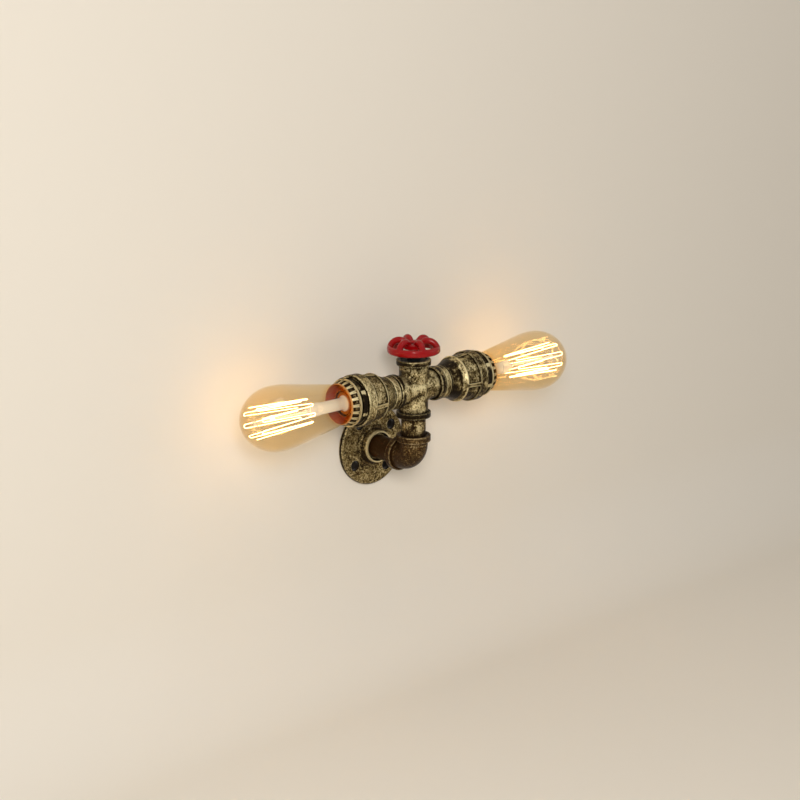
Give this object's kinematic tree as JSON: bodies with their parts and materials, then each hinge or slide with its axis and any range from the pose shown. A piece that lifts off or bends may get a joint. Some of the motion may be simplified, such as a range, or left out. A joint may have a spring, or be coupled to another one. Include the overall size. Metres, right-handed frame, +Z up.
{
  "type": "wall sconce",
  "caption": "Pipe-fitting wall sconce: wall flange, elbow and cross carry a lamp on each side, with a red handwheel on top.",
  "frame": {"origin": "centre of the wall flange's back face", "axes": "+X along the two lamps, to the right as seen from the room; +Y into the wall; +Z up"},
  "size_m": [0.427, 0.0995, 0.1686],
  "materials": {
    "pipe": "antiqued brown steel with worn gilt",
    "flange": "antiqued gilt over black",
    "fitting": "antiqued gilt over black",
    "plug": "gloss black",
    "spindle": "darkened steel",
    "wheel_screw": "gloss red",
    "wheel_red": "gloss red",
    "gilt_trim": "worn gilt",
    "holder": "antiqued gilt over dark recesses",
    "holder_cover": "antiqued gilt over dark recesses",
    "insulator": "dark brown moulding",
    "socket_brass": "bright stamped brass",
    "small_steel": "bright wire and screws",
    "lead_brown": "brown insulation",
    "lead_blue": "blue insulation",
    "cap_metal": "bright drawn metal",
    "cap_black": "black glass",
    "cap_tip": "bright solder on brass",
    "bulb_glass": "pale amber clear glass",
    "stem_glass": "clear glass",
    "filament": "glowing wire"
  },
  "bodies": {
    "fixture": {"wall_nipple": "pipe", "riser_nipple": "pipe", "wall_flange": "flange", "elbow": "fitting", "cross": "fitting", "top_plug": "plug", "wheel_spindle": "spindle", "wheel_screw": "wheel_screw", "arm_nipple_left": "pipe", "lock_ring_left": "gilt_trim", "holder_casting_left": "holder", "cover_ring_left": "holder_cover", "bezel_left": "gilt_trim", "insulator_left": "insulator", "socket_shell_left": "socket_brass", "centre_contact_left": "socket_brass", "fixing_screws_left": "small_steel", "terminal_line_left": "socket_brass", "terminal_neutral_left": "socket_brass", "lead_line_left": "lead_brown", "lead_neutral_left": "lead_blue", "arm_nipple_right": "pipe", "lock_ring_right": "gilt_trim", "holder_casting_right": "holder", "cover_ring_right": "holder_cover", "bezel_right": "gilt_trim", "insulator_right": "insulator", "socket_shell_right": "socket_brass", "centre_contact_right": "socket_brass", "fixing_screws_right": "small_steel", "terminal_line_right": "socket_brass", "terminal_neutral_right": "socket_brass", "lead_line_right": "lead_brown", "lead_neutral_right": "lead_blue"},
    "wheel": {"handwheel": "wheel_red"},
    "lamp_left": {"bulb_cap_left": "cap_metal", "bulb_glass_left": "bulb_glass", "bulb_stem_left": "stem_glass", "support_wires_left": "small_steel", "filament_left": "filament"},
    "cap_foot_left": {"cap_insulator_left": "cap_black", "cap_contact_left": "cap_tip"},
    "lamp_right": {"bulb_cap_right": "cap_metal", "bulb_glass_right": "bulb_glass", "bulb_stem_right": "stem_glass", "support_wires_right": "small_steel", "filament_right": "filament"},
    "cap_foot_right": {"cap_insulator_right": "cap_black", "cap_contact_right": "cap_tip"}
  },
  "joints": [
    {"name": "wheel_turn", "type": "hinge", "parent": "fixture", "child": "wheel", "pos_m": [0, -0.0675, 0.1185], "axis": [0, 0, 1], "continuous": true},
    {"name": "lamp_slide_left", "type": "slide", "parent": "fixture", "child": "cap_foot_left", "axis": [-1, 0, 0], "range_m": [0, 0.0219]},
    {"name": "lamp_turn_left", "type": "hinge", "parent": "cap_foot_left", "child": "lamp_left", "pos_m": [-0.0935, -0.0675, 0.0737], "axis": [-1, 0, 0], "range_deg": [0, 2160]},
    {"name": "lamp_slide_right", "type": "slide", "parent": "fixture", "child": "cap_foot_right", "axis": [1, 0, 0], "range_m": [0, 0.0219]},
    {"name": "lamp_turn_right", "type": "hinge", "parent": "cap_foot_right", "child": "lamp_right", "pos_m": [0.0935, -0.0675, 0.0737], "axis": [1, 0, 0], "range_deg": [0, 2160]}
  ],
  "couplings": [
    {"joint": "lamp_slide_left", "follows": "lamp_turn_left", "m_per_rad": 0.00057751},
    {"joint": "lamp_slide_right", "follows": "lamp_turn_right", "m_per_rad": 0.00057751}
  ]
}
